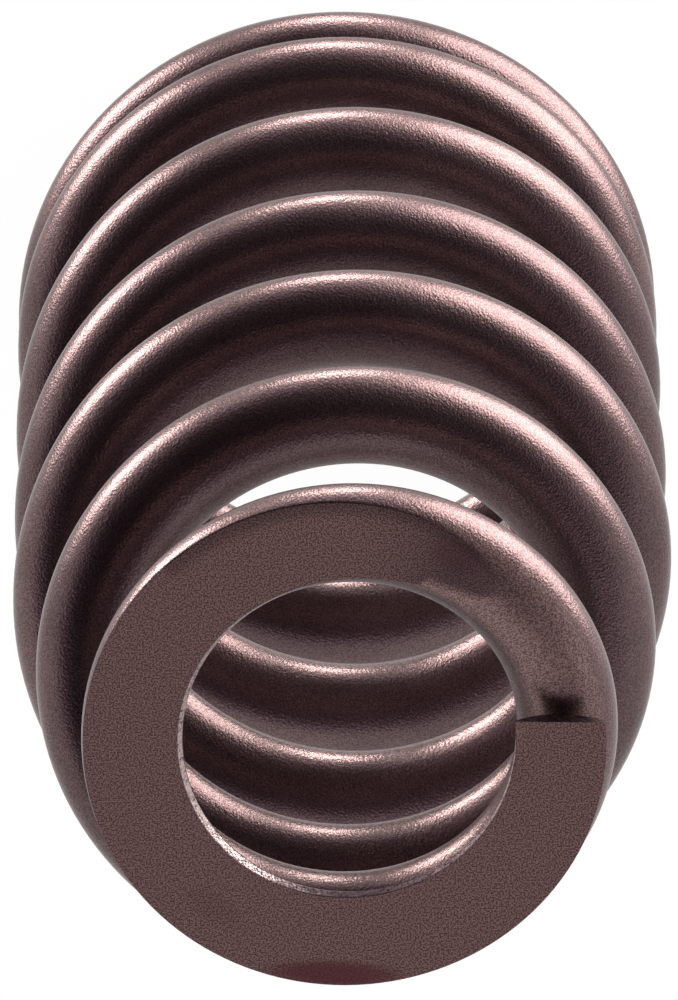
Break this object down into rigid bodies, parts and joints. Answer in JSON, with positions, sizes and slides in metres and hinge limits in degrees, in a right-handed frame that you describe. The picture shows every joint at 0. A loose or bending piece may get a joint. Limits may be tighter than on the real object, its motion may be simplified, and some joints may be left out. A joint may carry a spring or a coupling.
{
  "type": "engine valve spring",
  "caption": "Engine valve spring in ovate wire with a narrow upper end, closed and ground flat at both ends.",
  "frame": {"origin": "centre of the wide end's ground seat, on the axis of the spring", "axes": "+Z along the spring's axis towards the narrow end, +X towards the narrow end's wire tip"},
  "size_m": [0.034, 0.034, 0.062],
  "materials": {
    "wire": "satin brown coat over shot-peened spring steel"
  },
  "bodies": {
    "root": {"coil": "wire"}
  },
  "joints": []
}
